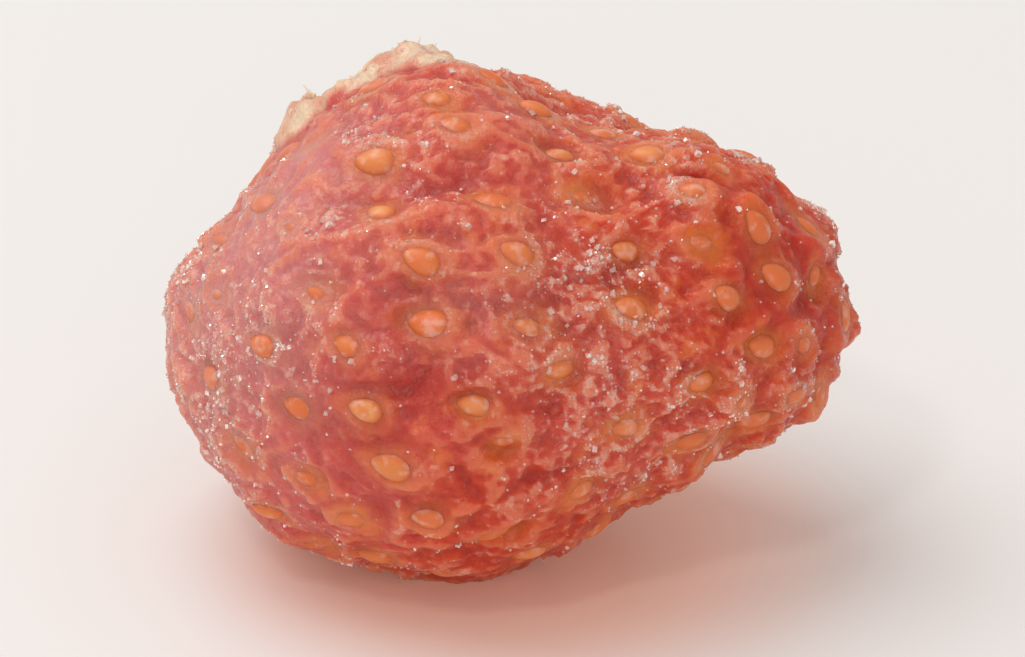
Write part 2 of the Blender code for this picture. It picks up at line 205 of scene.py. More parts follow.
# The flesh is more orange to the tip, and near the table it is painted more orange too, a painted glow of
# the light that comes through from below
WARM_FROM, WARM_TO, WARM_FRONT = -0.65, 0.0, 0.8
TIP_WARM_FROM, TIP_WARM_TO, TIP_WARM = 0.3, 0.8, 0.5
LOW, LOW_PAINTED_GLOW = 7.0 * MM, 0.6
WARM_SPANS = ((3.5 * MM, 1.0),)
WARM_CLOUDS = 0.6
# The flesh is deeper red where it is thick and clear of sugar
DEEPS = (
    Patch(-0.34, 20, 2.6 * MM, 0.95),
    Patch(-0.45, 2, 2.6 * MM, 0.60),
    Patch(0.80, 50, 3.6 * MM, 0.75),
    Patch(0.97, 0, 3.0 * MM, 0.60),
    Patch(0.40, 190, 3.0 * MM, 0.50),
    Patch(-0.20, 150, 2.6 * MM, 0.45),
    Patch(-0.65, 235, 2.6 * MM, 0.45),
    Patch(0.10, -70, 3.5 * MM, 0.40),
)
# Small crusts of sugar
CRUSTS = (
    Patch(-0.42, 76, 0.55 * MM, 1.2),
    Patch(0.35, 73, 0.50 * MM, 0.9),
    Patch(0.46, 66, 0.45 * MM, 1.1),
    Patch(0.27, 59, 0.50 * MM, 0.9),
    Patch(0.34, 4, 0.50 * MM, 1.0),
    Patch(0.33, -13, 0.70 * MM, 1.2),
    Patch(0.24, -20, 0.50 * MM, 0.9),
    Patch(0.09, 35, 0.35 * MM, 1.2),
    Patch(-0.88, 1, 0.40 * MM, 1.3),
    Patch(-0.13, 49, 0.35 * MM, 1.2),
    Patch(-0.60, -9, 0.40 * MM, 1.0),
    Patch(-0.70, 150, 0.70 * MM, 1.1),
    Patch(0.20, 140, 0.60 * MM, 1.0),
    Patch(0.55, 205, 0.70 * MM, 1.1),
    Patch(-0.30, 200, 0.60 * MM, 1.0),
    Patch(-0.55, 255, 0.60 * MM, 1.0),
    Patch(0.70, 110, 0.50 * MM, 1.0),
)

# Seeds are sunk in the flesh by uneven amounts, and skin and sugar film over their edges
SEED_THICKNESS = 0.80 * MM
SEED_GROWTH = (0.90, 1.08)  # their size against the solid's seeds
SEED_STAND = (0.02 * MM, 0.27 * MM)  # how far their tops stand above the skin
SEED_SHOULDER_SINK = 0.08 * MM  # how much lower they stand on the swollen end
SEED_MOST_TORN = 0.2  # none stands where the torn tissue lies over the skin
SEED_FILM_FROM, SEED_FILM_TO = 0.24 * MM, 0.0  # how high over the skin the film starts and is full
SHOULDER_FILM = 0.75  # how much film lies over the seeds of the swollen end
TIP_FILM, TIP_FILM_FROM, TIP_FILM_TO = 0.95, 3.5 * MM, 8.0 * MM  # and of the tip, along X
SEED_VEIL = 1.0  # the most film that may lie over a seed elsewhere
SHOULDER_TONE = 0.5  # how much browner they are on the swollen end
SEED_DRAW = 7
SEED_SIDES, SEED_ROWS = 14, 9
SEED_NEAR = 2.5  # how far off it shapes the skin, in seed lengths
SEAT_FROM, SEAT_TO = 1.05, 1.75  # where the even seat of a seed starts to fade and ends
PIT_SHARE = 0.20  # how deep its pit is, as a share of the solid's
PIT_FROM, PIT_TO = 0.95, 1.60  # where a pit's wall starts and ends, as a share of the seed's outline
HALO_FROM, HALO_TO = 0.9, 2.3  # where the amber flesh round a seed fades, in the same way

# The torn hull
# A lobe of torn tissue: its bearing round the scar and its width in degrees, and how far it laps over
# the skin, as a share of the way from the scar's middle to its rim
Lobe = namedtuple("Lobe", "bearing width lap")
LOBES = (
    Lobe(-58, 18, 0.85),
    Lobe(-96, 26, 0.22),
    Lobe(-139, 14, 0.55),
    Lobe(24, 16, 0.24),
    Lobe(98, 24, 0.32),
    Lobe(165, 12, 0.20),
)
TORN_FROM, TORN_TO = 0.94, 1.05  # where the tissue ends, as a share of its lap
TORN_RAGGED = ((1.0 * MM, 0.13), (0.4 * MM, 0.07))
TORN_CALM = 0.6  # the share of the crinkles that the tissue lacks
TORN_RISE = 0.06 * MM
LAP_RISE = 0.16 * MM  # how far a lobe's tissue stands above the skin
LAP_FROM, LAP_TO = 0.98, 1.15  # where that rise starts and is full, as a share of the way to the rim
TORN_LUMPS, TORN_LUMP = ((1.0 * MM, 0.6), (0.45 * MM, 0.4)), 0.20 * MM
FIBRE_TIMES, FIBRE_HEIGHT = 20, 0.14 * MM  # about how many fibres fan out over its floor
FIBRE_SPAN, FIBRE_WANDER = 1.6 * MM, 0.55
PALE_FROM, PALE_TO = 0.80, 1.00  # where the pale rim starts and is full, in the same way
PALE_MEAN, PALE_LEAST, PALE_CLOUDS = 0.90, 0.3, ((0.8 * MM, 1.1),)
# The scar's floor stays pinker and darker than its pale rim: partly the flesh's own colour, partly
# painted shade in the hollow
FLOOR_PALE, FIBRE_PALE = 0.65, (-0.2, 1.2)  # how pale the scar's floor gets, and its fibres' part in it
PITH_REACH = 0.24  # how wide the pale pith in its middle is
SCAR_NEAR = 1.5  # how far out a root may be, where the rim is 1
ROOT_PLACES = 6  # how many places of the skin a root is the middle of
FLAKE_SEED = 5
FLAKE_COUNT = 15
FLAKE_SIDES, FLAKE_ROWS = 12, 20
FLAKE_LUMP, FLAKE_LUMP_SPAN = 0.05 * MM, 0.4 * MM
FLAKE_MIDDLE, FLAKE_EDGE = 0.3, 0.7  # how far its middle stands up, and its edge from there
FLAKE_RAGS = 6  # how often its edge rises and falls, for each radian round the scar
FLAKE_THINNING = 0.3  # how much thinner it is at its edge
# A flake: where it starts round the scar and its width in degrees, its height and thickness, its lean
# away from the middle of the scar at its foot, in radians, how much more it leans at its edge, how far
# out from the middle it stands, where the rim is 1, and how ragged its edge is
Flake = namedtuple("Flake", "start width height thickness lean curl reach ragged")
FLAKE_LEAST = Flake(-10, 14, 0.13 * MM, 0.14 * MM, -0.5, -0.6, 0.84, 0.35)
FLAKE_MOST = Flake(10, 34, 0.34 * MM, 0.30 * MM, 0.4, 0.6, 1.00, 0.75)
STRAND_COUNT = 40
STRAND_LENGTHS = (0.5 * MM, 1.3 * MM)
STRAND_LIFTS = (0.05, 0.40)  # in radians
STRAND_RADIUS = 0.05 * MM
STRAND_THICKNESSES, STRAND_END = (0.6, 1.5), 0.35  # as shares of that radius
STRAND_SIDES = 5
STRAND_PLACES = (0.02, 0.80)  # where they are rooted, as shares of the scar's area from its middle
STRAND_TURN = 0.5  # how far they turn from the way out, in radians
STRAND_BURIED = 0.2  # the share of their length that is under the floor
NUDGE = 0.01 * MM  # gives a strand at the very middle a way out too
STRAND_PALE = 0.4  # how far they are from pink to cream

# Sugar grains
GRAIN_SEED = 11
GRAIN_DOUBLINGS = 12  # there are two to this power of them
GRAIN_LEAST, GRAIN_MOST = 0.045 * MM, 0.17 * MM
GRAIN_POWER = 2.6  # how much rarer larger grains are
GRAIN_STRETCH = (0.6, 1.25)
GRAIN_JITTER = 0.16
GRAIN_SUNK = 0.30  # the share of a grain that is in the skin
# How likely they are with no bloom and off the ridges, and the share that torn tissue lacks
GRAINS_ANYWHERE, GRAINS_OFF_RIDGES, GRAINS_OFF_TISSUE = 0.02, 0.15, 0.5


def ramp(value, low, high):
    """A smooth rise from 0 at low to 1 at high."""
    t = np.clip((value - low) / (high - low), 0, 1)
    return t * t * (3 - 2 * t)


def unit(vectors):
    return vectors / np.linalg.norm(vectors, axis=-1, keepdims=True)


def place(along, around):
    """The unit direction of a place on the fruit."""
    angle = math.radians(around)
    across = math.sqrt(1 - along * along)
    return np.array([along, -across * math.cos(angle), across * math.sin(angle)])


def tangents(directions, axis):
    """For each direction, the unit vectors along the sphere towards axis and to its left."""
    forward = unit(axis - directions * (directions @ axis)[:, None])
    return forward, np.cross(directions, forward)


def body(directions):
    """The plump, tapered fruit with no folds."""
    along = directions[:, 0]
    girth = SHOULDER_GIRTH - (SHOULDER_GIRTH - TIP_GIRTH) * ramp(along, TAPER_FROM, TAPER_TO)
    girth += TIP_BLUNT * np.clip(along, 0, 1) ** 6
    girth -= HULL_DRAW * ramp(-along, HULL_DRAW_FROM, 1.0)
    points = directions * np.array([LENGTH, DEPTH, HEIGHT]) / 2
    points[:, 1:] *= girth[:, None]
    for bend in BENDS:
        points[:, 2] += bend.height * np.exp(-(((along - bend.middle) / bend.reach) ** 2))
    return points


def outward(directions):
    return unit(directions / np.array([LENGTH, DEPTH, HEIGHT]))


def local(points, centre, heading, axis=(1.0, 0.0, 0.0)):
    """How far each point is from centre, ahead along heading and aside, in metres, and a share
    that is 1 on centre's side of the fruit and 0 on the other side."""
    origin = body(centre[None])[0]
    normal = outward(centre[None])[0]
    forward = unit(np.array(axis) - normal * (normal @ np.array(axis)))
    left = np.cross(normal, forward)
    turn = math.radians(heading)
    away = points - origin
    ahead, aside = away @ forward, away @ left
    cos, sin = math.cos(turn), math.sin(turn)
    same_side = ramp(away @ normal, OTHER_SIDE, THIS_SIDE)
    return ahead * cos + aside * sin, aside * cos - ahead * sin, same_side


def fold_depth(points):
    """The hollows, less the swellings, of every fold."""
    depth = np.zeros(len(points))
    for fold in FOLDS.values():
        ahead, aside, same_side = local(points, place(fold.along, fold.around), fold.heading)
        near = np.exp(-((ahead / fold.length) ** 2) - np.abs(aside / fold.width) ** FOLD_STEEPNESS)
        depth += fold.depth * near * same_side
    return depth


def wrinkle_height(points, strengths):
    """Broad lumps, and finer wrinkles that run along the fruit."""
    heights = np.empty(len(points))
    for i, (x, y, z) in enumerate(points):
        lump = noise.noise(Vector((x, y, z)) / LUMP_SPAN)
        bend = WRINKLE_BEND * noise.noise(Vector((z, x, y)) / (2 * RIDGE_SPAN))
        wander = Vector((bend, -bend, bend))
        spot = Vector((x / WRINKLE_STRETCH, y, z))
        ridge = 1 - SHARPNESS * abs(noise.noise(spot / RIDGE_SPAN + wander)) - MEAN_HEIGHT
        pillow = SHARPNESS * abs(noise.noise(spot / PILLOW_SPAN - wander)) - MEAN_HEIGHT
        wrinkle = RIDGE_HEIGHT * ridge + PILLOW_HEIGHT * pillow
        heights[i] = LUMP_HEIGHT * lump + wrinkle * strengths[i]
    return heights


def scar_rim(bearing):
    """How far the scar's wavering rim is from its middle."""
    return SCAR_RADIUS * (1 + sum(w.share * np.sin(w.times * bearing + w.phase) for w in WAVERS))


def degrees_off(bearing, middle):
    """How far each bearing, in radians, is from middle, in degrees."""
    return (np.degrees(bearing) - middle + 180) % 360 - 180


def scar_height(points):
    """The torn hollow where the hull was, its core stub and its tagged lip."""
    ahead, aside, same_side = local(points, place(SCAR_ALONG, SCAR_AROUND), 0)
    reach = np.hypot(ahead, aside)
    bearing = np.arctan2(aside, ahead)
    rim = scar_rim(bearing)
    bowl = -SCAR_DEPTH * (1 - ramp(reach, SCAR_FLOOR * rim, rim))
    core = CORE_HEIGHT * np.exp(-((reach / CORE_RADIUS) ** 4))
    pith = -PITH_DEPTH * np.exp(-((reach / PITH_RADIUS) ** 2))
    lip = LIP_HEIGHT * np.ones(len(points))
    for tag in TAGS:
        lip += tag.height * np.exp(-((degrees_off(bearing, tag.around) / tag.width) ** 2))
    lip *= np.exp(-(((reach - rim) / LIP_WIDTH) ** 2))
    return (bowl + core + pith + lip) * same_side


def in_scar(points, margin=0.0):
    """How far inside the scar's rim each point lies, from 0 to 1."""
    ahead, aside, same_side = local(points, place(SCAR_ALONG, SCAR_AROUND), 0)
    edge = SCAR_RADIUS + margin
    return (1 - ramp(np.hypot(ahead, aside), edge - LIP_WIDTH, edge)) * same_side


def skin(directions):
    """Where the skin is in each direction, before the underside settles."""
    points = body(directions)
    calm = 1 - SHOULDER_CALM * (1 - ramp(directions[:, 0], CALM_TO, CALM_FROM))
    calm *= 1 - SCAR_CALM * in_scar(points, margin=LIP_WIDTH)
    height = wrinkle_height(points, calm) - fold_depth(points) + scar_height(points)
    points = points + outward(directions) * height[:, None]
    points[:, 2] += HEIGHT / 2 * SHOULDER_GIRTH - SETTLED
    return points


def skin_slopes(directions, forward, left):
    """The skin's change in position for a radian forward and for a radian to the left."""
    slopes = []
    for way in (forward, left):
        ahead = skin(unit(directions + STEP * way))
        behind = skin(unit(directions - STEP * way))
        slopes.append((ahead - behind) / (2 * STEP))
    return slopes


class Seeds:
    """The places, headings and sizes of the seeds, worked out from the spiral's rule."""

    def __init__(self):
        axis = unit(np.array(SEED_AXIS))
        directions, turns, sizes = self.spiral(axis)
        forward, left = tangents(directions, axis)
        cos, sin = np.cos(turns)[:, None], np.sin(turns)[:, None]
        forward, left = forward * cos + left * sin, left * cos - forward * sin
        slope_forward, slope_left = skin_slopes(directions, forward, left)
        self.points = skin(directions)
        self.normals = unit(np.cross(slope_forward, slope_left))
        self.ahead = unit(slope_forward)
        self.aside = np.cross(self.normals, self.ahead)
        self.sizes = sizes
        self.shoulder = ramp(-(directions @ axis), SEED_SHOULDER_FROM, SEED_SHOULDER_FULL)
        self.keep(in_scar(body(directions), margin=SCAR_CLEARANCE) < 0.5)
        self.keep(self.points[:, 2] > REST_CLEARANCE)
        self.keep(self.apart())

    @staticmethod
    def spiral(axis):
        """Places at even steps along the axis and golden angles round it, each moved a little."""
        draw = random.Random(RANDOM_SEED)
        across = unit(np.cross(axis, (0.0, 0.0, 1.0)))
        upward = np.cross(axis, across)
        places, turns, sizes = [], [], []
        for i in range(SEED_SPIRAL_COUNT):
            along = 1 - 2 * (i + 0.5) / SEED_SPIRAL_COUNT
            angle = SEED_SPIRAL_START + i * GOLDEN_ANGLE
            ring = math.sqrt(1 - along * along) * (across * math.cos(angle) + upward * math.sin(angle))
            drift = np.array([draw.uniform(-SEED_DRIFT, SEED_DRIFT) for _ in range(3)])
            places.append(axis * along + ring + drift)
            turns.append(math.radians(draw.uniform(-SEED_TURN, SEED_TURN)))
            sizes.append(draw.uniform(*SEED_SIZES))
        return unit(np.array(places)), np.array(turns), np.array(sizes)

    def keep(self, wanted):
        for name, values in vars(self).items():
            setattr(self, name, values[wanted])

    def apart(self):
        """Whether each seed is far enough from every seed before it that is."""
        apart = np.zeros(len(self.points), bool)
        for i, point in enumerate(self.points):
            away = np.linalg.norm(self.points[:i][apart[:i]] - point, axis=1)
            apart[i] = (away > SEED_SPACING).all()
        return apart

    def share_of_outline(self, i, points):
        """How far points are from seed i, where its drop-shaped outline is 1."""
        away = points - self.points[i]
        ahead = away @ self.ahead[i] / (self.sizes[i] * SEED_LENGTH / 2)
        aside = away @ self.aside[i] / (self.sizes[i] * SEED_WIDTH / 2)
        aside /= 1 + SEED_DROP * np.clip(ahead, -1, 1)
        return np.hypot(ahead, aside)


# Modelling


def new_piece(bm, name, material, smooth=True):
    """Makes the finished bmesh a piece of the fruit."""
    bmesh.ops.recalc_face_normals(bm, faces=bm.faces)
    mesh = bpy.data.meshes.new(name)
    bm.to_mesh(mesh)
    bm.free()
    if smooth:
        mesh.shade_smooth()
    mesh.materials.append(material)
    piece = bpy.data.objects.new(name, mesh)
    bpy.context.scene.collection.objects.link(piece)
    return piece


def add_attribute(mesh, name, values):
    layer = mesh.attributes.new(name, "FLOAT", "POINT")
    layer.data.foreach_set("value", np.asarray(values, np.float32))


def read_vectors(collection, name):
    values = np.empty(3 * len(collection), np.float32)
    collection.foreach_get(name, values)
    return values.reshape(-1, 3).astype(float)


def crinkle_height(points, strengths):
    """The fine crinkles of the dried skin, too fine for the solid."""
    heights = np.empty(len(points))
    for i, (x, y, z) in enumerate(points):
        bend = noise.noise(Vector((x, y, z)) / WANDER_SPAN)
        height = 0.0
        for crinkle in CRINKLES:
            wander = bend * crinkle.wander
            spot = Vector((x / crinkle.stretch, y, z)) / crinkle.span + Vector((wander, -wander, wander))
            cut = CRINKLE_SHARPNESS * abs(noise.noise(spot))
            height += crinkle.height * crinkle.kind * (1 - MEAN_HEIGHT - cut)
        heights[i] = height * strengths[i]
    return heights


def rounded_cube_directions(bm, cuts):
    """Makes a cube whose faces are even grids, and gives the directions that round it to a sphere."""
    bmesh.ops.create_cube(bm, size=2)
    bmesh.ops.subdivide_edges(bm, edges=bm.edges, cuts=cuts, use_grid_fill=True)
    corners = np.array([vertex.co[:] for vertex in bm.verts])
    return unit(np.tan(corners * math.pi / 4))


def averaged(values, edges, passes):
    """values after each is averaged with its neighbours' a number of times."""
    first, second = edges.T
    total = len(values)
    neighbours = np.bincount(first, minlength=total) + np.bincount(second, minlength=total)
    for _ in range(passes):
        nearby = np.bincount(first, values[second], total) + np.bincount(second, values[first], total)
        values = (values + nearby / neighbours) / 2
    return values


def clouds(points, spans):
    """Soft noise from about -1 to 1, in clouds of several spans."""
    return np.array([sum(share * noise.noise(Vector(p) / span) for span, share in spans) for p in points])


def patched(plump, patches):
    """The strengths of the patches at each place, with soft edges."""
    cover = np.zeros(len(plump))
    for patch in patches:
        ahead, aside, same_side = local(plump, place(patch.along, patch.around), 0)
        near = np.exp(-((ahead / patch.radius) ** 2) - (aside / patch.radius) ** 2)
        cover += patch.strength * near * same_side
    return cover


def fibres(reach, bearing):
    """Narrow streaks from about -1 to 1 that run out from the middle of the scar."""
    ring = FIBRE_TIMES / (2 * math.pi)
    spots = zip(ring * np.cos(bearing), ring * np.sin(bearing), reach / FIBRE_SPAN)
    return np.array([1 - 3 * abs(noise.noise(Vector(spot))) for spot in spots])


def torn_tissue(points, reach, bearing, out):
    """Where the torn tissue lies and is pale, and how far it stands above the skin."""
    lap = np.ones(len(points))
    for lobe in LOBES:
        lap += lobe.lap * np.exp(-((degrees_off(bearing, lobe.bearing) / lobe.width) ** 2))
    ragged = out + clouds(points, TORN_RAGGED)
    torn = 1 - ramp(ragged / lap, TORN_FROM, TORN_TO)
    lumps = clouds(points, TORN_LUMPS)
    fibre = fibres(reach, bearing + FIBRE_WANDER * lumps)
    pith = np.exp(-((ragged / PITH_REACH) ** 2))
    # painted shade: the floor's paleness is capped at FLOOR_PALE, so the hollow stays darker than its rim
    pale = FLOOR_PALE * np.maximum(ramp(fibre + lumps, *FIBRE_PALE), pith)
    pale = np.maximum(pale, ramp(ragged, PALE_FROM, PALE_TO))
    pale *= np.clip(PALE_MEAN + clouds(points, PALE_CLOUDS), PALE_LEAST, 1)
    rise = (TORN_RISE + TORN_LUMP * lumps + FIBRE_HEIGHT * fibre) * torn
    rise += LAP_RISE * torn * ramp(ragged, LAP_FROM, LAP_TO)
    return torn, pale, rise


def seat_seeds(seeds, points, height, torn):
    """Evens the skin's height at each seed and sinks its pit, and gives how near to a seed it is."""
    halo = np.zeros(len(points))
    for i in range(len(seeds.points)):
        near = np.linalg.norm(points - seeds.points[i], axis=1) < SEED_NEAR * SEED_LENGTH
        share = seeds.share_of_outline(i, points[near]) + torn[near]
        seat = (points[near] - seeds.points[i]) @ seeds.normals[i] + height[near]
        height[near] -= seat * (1 - ramp(share, SEAT_FROM, SEAT_TO))
        height[near] -= PIT_SHARE * PIT_DEPTH * (1 - ramp(share, PIT_FROM, PIT_TO))
        halo[near] = np.maximum(halo[near], 1 - ramp(share, HALO_FROM, HALO_TO))
    return halo


def warmth(directions, points):
    """How orange the flesh is, from 0 to 1, with a painted glow near the table."""
    warm = ramp(directions[:, 0], WARM_FROM, WARM_TO) * WARM_FRONT
    warm += ramp(directions[:, 0], TIP_WARM_FROM, TIP_WARM_TO) * TIP_WARM
    # painted glow: the flesh is painted more orange near the table, for the light that comes through from
    # below
    warm += (1 - ramp(points[:, 2], 0.0, LOW)) * LOW_PAINTED_GLOW
    warm += WARM_CLOUDS * clouds(points, WARM_SPANS)
    return np.clip(warm, 0, 1)


def above_average(heights, edges, passes, full):
    """How far each height is above those near it, from -1 to 1."""
    return np.clip((heights - averaged(heights, edges, passes)) / full, -1, 1)


class Flesh:
    """The flesh, and what is known of its skin for the pieces that sit on it."""

    def __init__(self, seeds, material):
        bm = bmesh.new()
        directions = rounded_cube_directions(bm, FLESH_CUTS)
        points = skin(directions)
        plump = body(directions)
        ahead, aside, same_side = local(plump, place(SCAR_ALONG, SCAR_AROUND), 0)
        reach, bearing = np.hypot(ahead, aside), np.arctan2(aside, ahead)
        out = reach / scar_rim(bearing) + 2 * (1 - same_side)
        self.torn, pale, rise = torn_tissue(points, reach, bearing, out)
        calm = 1 - CRINKLE_CALM * (1 - ramp(directions[:, 0], CALM_TO, CALM_FROM))
        height = crinkle_height(points, calm * (1 - TORN_CALM * self.torn)) + rise
        halo = seat_seeds(seeds, points, height, self.torn)
        points = points + outward(directions) * height[:, None]
        points[:, 2] = np.maximum(points[:, 2], 0)
        self.shift = np.append((points.min(axis=0) + points.max(axis=0))[:2] / 2, 0)
        self.points = points - self.shift
        for vertex, point in zip(bm.verts, self.points):
            vertex.co = point
        self.piece = new_piece(bm, "flesh", material)
        self.normals = read_vectors(self.piece.data.vertex_normals, "vector")
        self.scar = np.where(out < SCAR_NEAR)[0]
        self.scar_ahead, self.scar_aside = ahead[self.scar], aside[self.scar]
        stand = ((points - plump) * outward(directions)).sum(axis=1)
        self.dress(directions, plump, stand, {"halo": halo, "pale": pale})

    def dress(self, directions, plump, stand, shares):
        """Works out what the flesh's material reads at each place of the skin."""
        edges = np.empty(2 * len(self.piece.data.edges), np.int32)
        self.piece.data.edges.foreach_get("vertices", edges)
        edges = edges.reshape(-1, 2)
        self.ridge = above_average(stand, edges, FINE_PASSES, FINE_RELIEF)
        self.crest = above_average(stand, edges, CREST_PASSES, CREST_RELIEF)
        cover = BLOOM + clouds(self.points, BLOOM_SPANS) + patched(plump, PATCHES.values())
        self.bloom = np.clip(cover + patched(plump, CRUSTS), 0, 1)
        haze = patched(plump, HAZES) * (1 + clouds(self.points, HAZE_SPANS))
        shares |= {
            "ridge": self.ridge,
            "crest": self.crest,
            # the hollow share is where the material paints shade
            "hollow": -above_average(stand, edges, BROAD_PASSES, BROAD_RELIEF),
            "bloom": self.bloom,
            "haze": np.clip(haze, 0, 1),
            "deep": np.clip(patched(plump, DEEPS), 0, 1),
            "torn": self.torn,
            "warm": warmth(directions, self.points),
        }
        for name, values in shares.items():
            add_attribute(self.piece.data, name, values)

    def torn_at(self, point):
        """The share of torn tissue at the place of the skin that is nearest to point."""
        return self.torn[np.argmin(((self.points - point) ** 2).sum(axis=1))]

    def in_scar_at(self, reach, bearing):
        """The skin's place and normal at a spot of the scar, in metres and radians from its middle."""
        ahead = self.scar_ahead - reach * math.cos(bearing)
        aside = self.scar_aside - reach * math.sin(bearing)
        nearest = self.scar[np.argsort(np.hypot(ahead, aside))[:ROOT_PLACES]]
        return self.points[nearest].mean(axis=0), unit(self.normals[nearest].mean(axis=0))


def make_achenes(seeds, flesh, material):
    """The hard seeds, each in its pit and sunk in the flesh by its own amount."""
    bm = bmesh.new()
    shares = ("film", "tone", "haze")
    for name in shares:
        bm.verts.layers.float.new(name)
    film_share, tone_share, haze_share = (bm.verts.layers.float[name] for name in shares)
    draw = random.Random(SEED_DRAW)
    for i in range(len(seeds.points)):
        size = seeds.sizes[i] * draw.uniform(*SEED_GROWTH)
        stand = draw.uniform(*SEED_STAND) - SEED_SHOULDER_SINK * seeds.shoulder[i]
        tone = draw.random() + SHOULDER_TONE * seeds.shoulder[i]
        at_tip = ramp(seeds.points[i][0], TIP_FILM_FROM, TIP_FILM_TO)
        veil = max(SEED_VEIL * draw.random(), SHOULDER_FILM * seeds.shoulder[i], TIP_FILM * at_tip)
        if flesh.torn_at(seeds.points[i] - flesh.shift) > SEED_MOST_TORN:
            continue
        thickness = SEED_THICKNESS * size
        middle = seeds.points[i] - flesh.shift + seeds.normals[i] * (stand - thickness / 2)
        turned = Matrix(np.column_stack([seeds.ahead[i], seeds.aside[i], seeds.normals[i]]).tolist())
        ball = bmesh.ops.create_uvsphere(bm, u_segments=SEED_SIDES, v_segments=SEED_ROWS, radius=1)
        for vertex in ball["verts"]:
            up, aside, ahead = vertex.co
            film = ramp(stand - (1 - up) * thickness / 2, SEED_FILM_FROM, SEED_FILM_TO)
            vertex[film_share] = max(film, veil)
            vertex[tone_share] = tone
            vertex[haze_share] = seeds.shoulder[i]
            narrowed = aside * (1 + SEED_DROP * ahead)
            shape = (ahead * size * SEED_LENGTH, narrowed * size * SEED_WIDTH, up * thickness)
            vertex.co = turned @ Vector(shape) / 2 + Vector(middle)
    return new_piece(bm, "achenes", material)


def add_flake(bm, flesh, flake, draw):
    """A torn scrap of tissue that stands on or beside the scar's rim, thickest at its foot."""
    edge_share = bm.verts.layers.float["edge"]
    ball = bmesh.ops.create_uvsphere(bm, u_segments=FLAKE_SIDES, v_segments=FLAKE_ROWS, radius=1)
    centre = flesh.in_scar_at(0, 0)[0]
    phase = draw.uniform(0, 100)
    roots = {}
    for vertex in ball["verts"]:
        upward, thick, across = vertex.co
        round_it = math.radians(flake.start + (0.5 + 0.5 * across) * flake.width)
        row = round(across, 4)
        if row not in roots:
            root, normal = flesh.in_scar_at(flake.reach * scar_rim(round_it), round_it)
            out = root - centre
            roots[row] = root, normal, unit(out - normal * (out @ normal))
        root, normal, out = roots[row]
        ragged = 1 - flake.ragged * (0.5 + noise.noise((FLAKE_RAGS * round_it + phase, 0, 0)))
        tall = flake.height * ragged * (FLAKE_EDGE * upward + FLAKE_MIDDLE)
        angle = flake.lean + flake.curl * max(upward, 0) / 2
        along = normal * math.cos(angle) + out * math.sin(angle)
        through = out * math.cos(angle) - normal * math.sin(angle)
        thick *= flake.thickness * (1 - FLAKE_THINNING * upward) / 2
        place_at = root + along * tall + through * thick
        lump = noise.noise_vector(Vector(place_at) / FLAKE_LUMP_SPAN) * FLAKE_LUMP
        vertex.co = Vector(place_at) + lump
        vertex[edge_share] = (upward + 1) / 2


def add_strand(bm, flesh, draw):
    """A torn fibre that lies in the scar and stands a little off its floor."""
    edge_share = bm.verts.layers.float["edge"]
    cone = bmesh.ops.create_cone(
        bm, cap_ends=True, cap_tris=True, segments=STRAND_SIDES, radius1=1, radius2=STRAND_END, depth=2
    )
    length = draw.uniform(*STRAND_LENGTHS)
    reach = SCAR_RADIUS * math.sqrt(draw.uniform(*STRAND_PLACES))
    bearing = draw.uniform(-math.pi, math.pi)
    root, normal = flesh.in_scar_at(reach, bearing)
    out = root - flesh.in_scar_at(0, 0)[0] + NUDGE
    out = unit(out - normal * (out @ normal))
    side = np.cross(normal, out)
    turn = draw.uniform(-STRAND_TURN, STRAND_TURN)
    out = out * math.cos(turn) + side * math.sin(turn)
    lift = draw.uniform(*STRAND_LIFTS)
    heading = unit(out * math.cos(lift) + normal * math.sin(lift))
    side = np.cross(normal, heading)
    upward = np.cross(heading, side)
    thick = STRAND_RADIUS * draw.uniform(*STRAND_THICKNESSES)
    for vertex in cone["verts"]:
        x, y, z = vertex.co
        along = heading * length * ((z + 1) / 2 - STRAND_BURIED)
        vertex.co = Vector(root + along + (side * x + upward * y) * thick)
        vertex[edge_share] = STRAND_PALE


def make_hull_tissue(flesh, material):
    """The torn scraps round the scar's rim and the fibres on its floor."""
    bm = bmesh.new()
    bm.verts.layers.float.new("edge")
    draw = random.Random(FLAKE_SEED)
    noise.seed_set(FLAKE_SEED)  # without it, noise_vector is seeded from the clock
    for i in range(FLAKE_COUNT):
        drawn = Flake(*(draw.uniform(*ends) for ends in zip(FLAKE_LEAST, FLAKE_MOST)))
        add_flake(bm, flesh, drawn._replace(start=360 * i / FLAKE_COUNT + drawn.start), draw)
    for _ in range(STRAND_COUNT):
        add_strand(bm, flesh, draw)
    return new_piece(bm, "hull_tissue", material)


